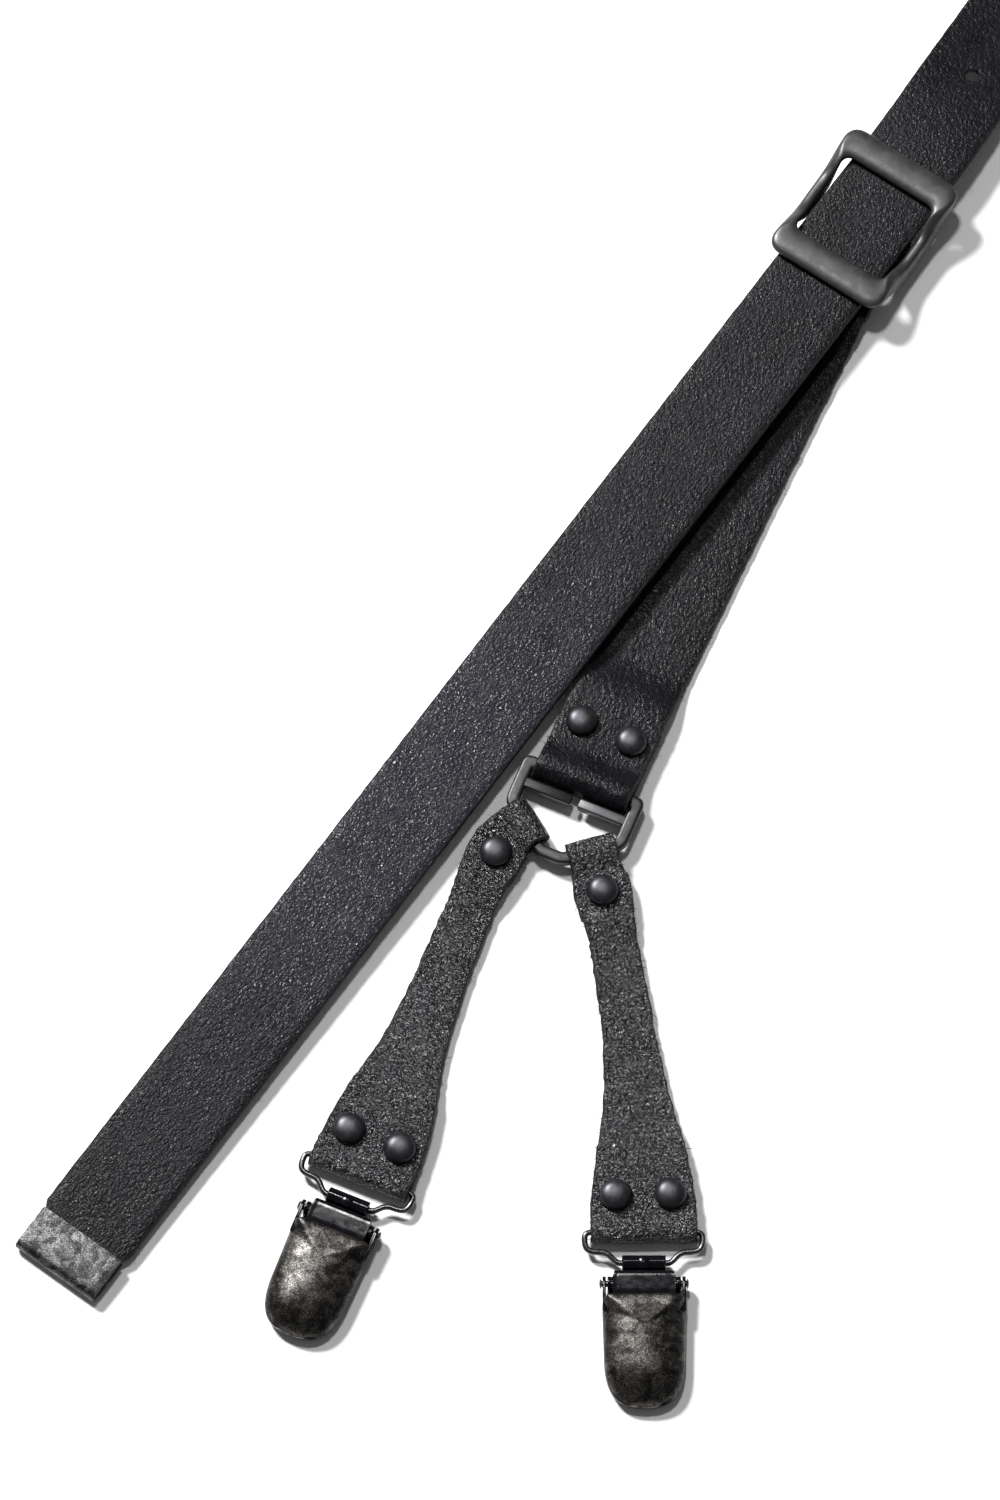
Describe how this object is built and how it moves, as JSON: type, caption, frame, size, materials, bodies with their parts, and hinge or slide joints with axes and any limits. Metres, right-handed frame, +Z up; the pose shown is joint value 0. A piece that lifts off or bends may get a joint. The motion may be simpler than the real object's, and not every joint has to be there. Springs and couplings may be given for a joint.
{
  "type": "clip-on suspenders",
  "caption": "Y-back leather suspenders laid flat: adjustable front straps with slide buckles, a sewn yoke, and rings with hinged tabs and lever clips.",
  "frame": {"origin": "centre of the bounding box, on the surface the suspenders lie on", "axes": "+Y from the front clips towards the back clips, +Z up, away from the surface"},
  "size_m": [0.545, 1.0864, 0.0121],
  "materials": {
    "strap_leather": "near-black pebbled leather, semi-gloss",
    "yoke_leather": "near-black pebbled leather, semi-gloss",
    "tab_leather": "near-black creased leather, semi-gloss",
    "buckle_gunmetal": "dark gunmetal, satin",
    "ring_gunmetal": "dark gunmetal, satin",
    "tip_antique": "antique silver, mottled",
    "lever_antique": "antique black nickel, mottled",
    "wire_nickel": "dark glossy nickel",
    "clip_black": "black lacquer",
    "rivet_black": "gloss black enamel"
  },
  "bodies": {
    "harness": {"left_strap": "strap_leather", "left_strap_tip": "tip_antique", "right_strap": "strap_leather", "right_strap_tip": "tip_antique", "yoke_back_plate": "yoke_leather", "yoke_front_plate": "yoke_leather", "back_strap": "strap_leather"},
    "left_slide": {"left_buckle": "buckle_gunmetal", "left_ring_strap": "strap_leather", "left_ring_strap_rivet_1": "rivet_black", "left_ring_strap_rivet_2": "rivet_black", "left_ring_strap_rivet_3": "rivet_black", "left_ring_strap_rivet_4": "rivet_black"},
    "left_ring_body": {"left_ring": "ring_gunmetal"},
    "left_outer_tab_body": {"left_outer_tab": "tab_leather", "left_outer_tab_rivet_1": "rivet_black", "left_outer_tab_rivet_2": "rivet_black", "left_outer_tab_rivet_3": "rivet_black"},
    "left_outer_wire_body": {"left_outer_clip_wire": "wire_nickel"},
    "left_outer_clip_body": {"left_outer_clip_plate": "clip_black", "left_outer_clip_pin": "wire_nickel"},
    "left_outer_lever_body": {"left_outer_clip_lever": "lever_antique"},
    "left_outer_jaw_body": {"left_outer_clip_jaw": "clip_black"},
    "left_inner_tab_body": {"left_inner_tab": "tab_leather", "left_inner_tab_rivet_1": "rivet_black", "left_inner_tab_rivet_2": "rivet_black", "left_inner_tab_rivet_3": "rivet_black"},
    "left_inner_wire_body": {"left_inner_clip_wire": "wire_nickel"},
    "left_inner_clip_body": {"left_inner_clip_plate": "clip_black", "left_inner_clip_pin": "wire_nickel"},
    "left_inner_lever_body": {"left_inner_clip_lever": "lever_antique"},
    "left_inner_jaw_body": {"left_inner_clip_jaw": "clip_black"},
    "right_slide": {"right_buckle": "buckle_gunmetal", "right_ring_strap": "strap_leather"},
    "right_ring_body": {"right_ring": "ring_gunmetal"},
    "right_outer_tab_body": {"right_outer_tab": "tab_leather"},
    "right_outer_wire_body": {"right_outer_clip_wire": "wire_nickel"},
    "right_outer_clip_body": {"right_outer_clip_plate": "clip_black", "right_outer_clip_pin": "wire_nickel"},
    "right_outer_lever_body": {"right_outer_clip_lever": "lever_antique"},
    "right_outer_jaw_body": {"right_outer_clip_jaw": "clip_black"},
    "right_inner_tab_body": {"right_inner_tab": "tab_leather"},
    "right_inner_wire_body": {"right_inner_clip_wire": "wire_nickel"},
    "right_inner_clip_body": {"right_inner_clip_plate": "clip_black", "right_inner_clip_pin": "wire_nickel"},
    "right_inner_lever_body": {"right_inner_clip_lever": "lever_antique"},
    "right_inner_jaw_body": {"right_inner_clip_jaw": "clip_black"},
    "back_ring_body": {"back_ring": "ring_gunmetal"},
    "back_left_tab_body": {"back_left_tab": "tab_leather"},
    "back_left_wire_body": {"back_left_clip_wire": "wire_nickel"},
    "back_left_clip_body": {"back_left_clip_plate": "clip_black", "back_left_clip_pin": "wire_nickel"},
    "back_left_lever_body": {"back_left_clip_lever": "lever_antique"},
    "back_left_jaw_body": {"back_left_clip_jaw": "clip_black"},
    "back_right_tab_body": {"back_right_tab": "tab_leather"},
    "back_right_wire_body": {"back_right_clip_wire": "wire_nickel"},
    "back_right_clip_body": {"back_right_clip_plate": "clip_black", "back_right_clip_pin": "wire_nickel"},
    "back_right_lever_body": {"back_right_clip_lever": "lever_antique"},
    "back_right_jaw_body": {"back_right_clip_jaw": "clip_black"}
  },
  "joints": [
    {"name": "left_buckle_slide", "type": "slide", "parent": "harness", "child": "left_slide", "axis": [-0.355, -0.9347, -0.018], "range_m": [0, 0.29]},
    {"name": "left_ring_swing", "type": "hinge", "parent": "left_slide", "child": "left_ring_body", "pos_m": [-0.17049, -0.38495, 0.0038], "axis": [-0.9914, 0.1305, 0], "range_deg": [-75, 75]},
    {"name": "left_outer_tab_swing", "type": "hinge", "parent": "left_ring_body", "child": "left_outer_tab_body", "pos_m": [-0.18127, -0.39947, 0.0038], "axis": [0.692, -0.7219, 0], "range_deg": [-40, 40]},
    {"name": "left_outer_wire_swing", "type": "hinge", "parent": "left_outer_tab_body", "child": "left_outer_wire_body", "pos_m": [-0.19634, -0.4957, 0.0027], "axis": [-0.9925, 0.1219, 0], "range_deg": [-70, 70]},
    {"name": "left_outer_clip_tilt", "type": "hinge", "parent": "left_outer_wire_body", "child": "left_outer_clip_body", "pos_m": [-0.19728, -0.50334, 0.0027], "axis": [0.9925, -0.1219, 0], "range_deg": [-45, 45]},
    {"name": "left_outer_lever", "type": "hinge", "parent": "left_outer_clip_body", "child": "left_outer_lever_body", "pos_m": [-0.19794, -0.5087, 0.0036], "axis": [-0.9925, 0.1219, 0], "range_deg": [0, 95]},
    {"name": "left_outer_jaw", "type": "hinge", "parent": "left_outer_clip_body", "child": "left_outer_jaw_body", "pos_m": [-0.19762, -0.50607, 0.0013], "axis": [-0.9925, 0.1219, 0], "range_deg": [0, 8]},
    {"name": "left_inner_tab_swing", "type": "hinge", "parent": "left_ring_body", "child": "left_inner_tab_body", "pos_m": [-0.16382, -0.40177, 0.0038], "axis": [0.8552, 0.5183, 0], "range_deg": [-40, 40]},
    {"name": "left_inner_wire_swing", "type": "hinge", "parent": "left_inner_tab_body", "child": "left_inner_wire_body", "pos_m": [-0.12655, -0.49175, 0.0027], "axis": [-0.9636, -0.2672, 0], "range_deg": [-70, 70]},
    {"name": "left_inner_clip_tilt", "type": "hinge", "parent": "left_inner_wire_body", "child": "left_inner_clip_body", "pos_m": [-0.12449, -0.49917, 0.0027], "axis": [0.9636, 0.2672, 0], "range_deg": [-45, 45]},
    {"name": "left_inner_lever", "type": "hinge", "parent": "left_inner_clip_body", "child": "left_inner_lever_body", "pos_m": [-0.12305, -0.50438, 0.0036], "axis": [-0.9636, -0.2672, 0], "range_deg": [0, 95]},
    {"name": "left_inner_jaw", "type": "hinge", "parent": "left_inner_clip_body", "child": "left_inner_jaw_body", "pos_m": [-0.12376, -0.50182, 0.0013], "axis": [-0.9636, -0.2672, 0], "range_deg": [0, 8]},
    {"name": "right_buckle_slide", "type": "slide", "parent": "harness", "child": "right_slide", "axis": [0.355, -0.9347, -0.018], "range_m": [0, 0.29]},
    {"name": "right_ring_swing", "type": "hinge", "parent": "right_slide", "child": "right_ring_body", "pos_m": [0.17049, -0.38495, 0.0038], "axis": [-0.9914, -0.1305, 0], "range_deg": [-75, 75]},
    {"name": "right_outer_tab_swing", "type": "hinge", "parent": "right_ring_body", "child": "right_outer_tab_body", "pos_m": [0.18127, -0.39947, 0.0038], "axis": [0.692, 0.7219, 0], "range_deg": [-40, 40]},
    {"name": "right_outer_wire_swing", "type": "hinge", "parent": "right_outer_tab_body", "child": "right_outer_wire_body", "pos_m": [0.19634, -0.4957, 0.0027], "axis": [-0.9925, -0.1219, 0], "range_deg": [-70, 70]},
    {"name": "right_outer_clip_tilt", "type": "hinge", "parent": "right_outer_wire_body", "child": "right_outer_clip_body", "pos_m": [0.19728, -0.50334, 0.0027], "axis": [0.9925, 0.1219, 0], "range_deg": [-45, 45]},
    {"name": "right_outer_lever", "type": "hinge", "parent": "right_outer_clip_body", "child": "right_outer_lever_body", "pos_m": [0.19794, -0.5087, 0.0036], "axis": [-0.9925, -0.1219, 0], "range_deg": [0, 95]},
    {"name": "right_outer_jaw", "type": "hinge", "parent": "right_outer_clip_body", "child": "right_outer_jaw_body", "pos_m": [0.19762, -0.50607, 0.0013], "axis": [-0.9925, -0.1219, 0], "range_deg": [0, 8]},
    {"name": "right_inner_tab_swing", "type": "hinge", "parent": "right_ring_body", "child": "right_inner_tab_body", "pos_m": [0.16382, -0.40177, 0.0038], "axis": [0.8552, -0.5183, 0], "range_deg": [-40, 40]},
    {"name": "right_inner_wire_swing", "type": "hinge", "parent": "right_inner_tab_body", "child": "right_inner_wire_body", "pos_m": [0.12655, -0.49175, 0.0027], "axis": [-0.9636, 0.2672, 0], "range_deg": [-70, 70]},
    {"name": "right_inner_clip_tilt", "type": "hinge", "parent": "right_inner_wire_body", "child": "right_inner_clip_body", "pos_m": [0.12449, -0.49917, 0.0027], "axis": [0.9636, -0.2672, 0], "range_deg": [-45, 45]},
    {"name": "right_inner_lever", "type": "hinge", "parent": "right_inner_clip_body", "child": "right_inner_lever_body", "pos_m": [0.12305, -0.50438, 0.0036], "axis": [-0.9636, 0.2672, 0], "range_deg": [0, 95]},
    {"name": "right_inner_jaw", "type": "hinge", "parent": "right_inner_clip_body", "child": "right_inner_jaw_body", "pos_m": [0.12376, -0.50182, 0.0013], "axis": [-0.9636, 0.2672, 0], "range_deg": [0, 8]},
    {"name": "back_ring_swing", "type": "hinge", "parent": "harness", "child": "back_ring_body", "pos_m": [0, 0.39134, 0.0038], "axis": [1, 0, 0], "range_deg": [-75, 75]},
    {"name": "back_left_tab_swing", "type": "hinge", "parent": "back_ring_body", "child": "back_left_tab_body", "pos_m": [-0.0088, 0.40714, 0.0038], "axis": [-0.7803, -0.6255, 0], "range_deg": [-40, 40]},
    {"name": "back_left_wire_swing", "type": "hinge", "parent": "back_left_tab_body", "child": "back_left_wire_body", "pos_m": [-0.03565, 0.50077, 0.0027], "axis": [0.9703, 0.2419, 0], "range_deg": [-70, 70]},
    {"name": "back_left_clip_tilt", "type": "hinge", "parent": "back_left_wire_body", "child": "back_left_clip_body", "pos_m": [-0.03751, 0.50824, 0.0027], "axis": [-0.9703, -0.2419, 0], "range_deg": [-45, 45]},
    {"name": "back_left_lever", "type": "hinge", "parent": "back_left_clip_body", "child": "back_left_lever_body", "pos_m": [-0.03882, 0.51348, 0.0036], "axis": [0.9703, 0.2419, 0], "range_deg": [0, 95]},
    {"name": "back_left_jaw", "type": "hinge", "parent": "back_left_clip_body", "child": "back_left_jaw_body", "pos_m": [-0.03817, 0.51091, 0.0013], "axis": [0.9703, 0.2419, 0], "range_deg": [0, 8]},
    {"name": "back_right_tab_swing", "type": "hinge", "parent": "back_ring_body", "child": "back_right_tab_body", "pos_m": [0.0088, 0.40714, 0.0038], "axis": [-0.7803, 0.6255, 0], "range_deg": [-40, 40]},
    {"name": "back_right_wire_swing", "type": "hinge", "parent": "back_right_tab_body", "child": "back_right_wire_body", "pos_m": [0.03565, 0.50077, 0.0027], "axis": [0.9703, -0.2419, 0], "range_deg": [-70, 70]},
    {"name": "back_right_clip_tilt", "type": "hinge", "parent": "back_right_wire_body", "child": "back_right_clip_body", "pos_m": [0.03751, 0.50824, 0.0027], "axis": [-0.9703, 0.2419, 0], "range_deg": [-45, 45]},
    {"name": "back_right_lever", "type": "hinge", "parent": "back_right_clip_body", "child": "back_right_lever_body", "pos_m": [0.03882, 0.51348, 0.0036], "axis": [0.9703, -0.2419, 0], "range_deg": [0, 95]},
    {"name": "back_right_jaw", "type": "hinge", "parent": "back_right_clip_body", "child": "back_right_jaw_body", "pos_m": [0.03817, 0.51091, 0.0013], "axis": [0.9703, -0.2419, 0], "range_deg": [0, 8]}
  ],
  "couplings": [
    {"joint": "left_outer_jaw", "follows": "left_outer_lever", "ratio": 0.084211},
    {"joint": "left_inner_jaw", "follows": "left_inner_lever", "ratio": 0.084211},
    {"joint": "right_outer_jaw", "follows": "right_outer_lever", "ratio": 0.084211},
    {"joint": "right_inner_jaw", "follows": "right_inner_lever", "ratio": 0.084211},
    {"joint": "back_left_jaw", "follows": "back_left_lever", "ratio": 0.084211},
    {"joint": "back_right_jaw", "follows": "back_right_lever", "ratio": 0.084211}
  ]
}
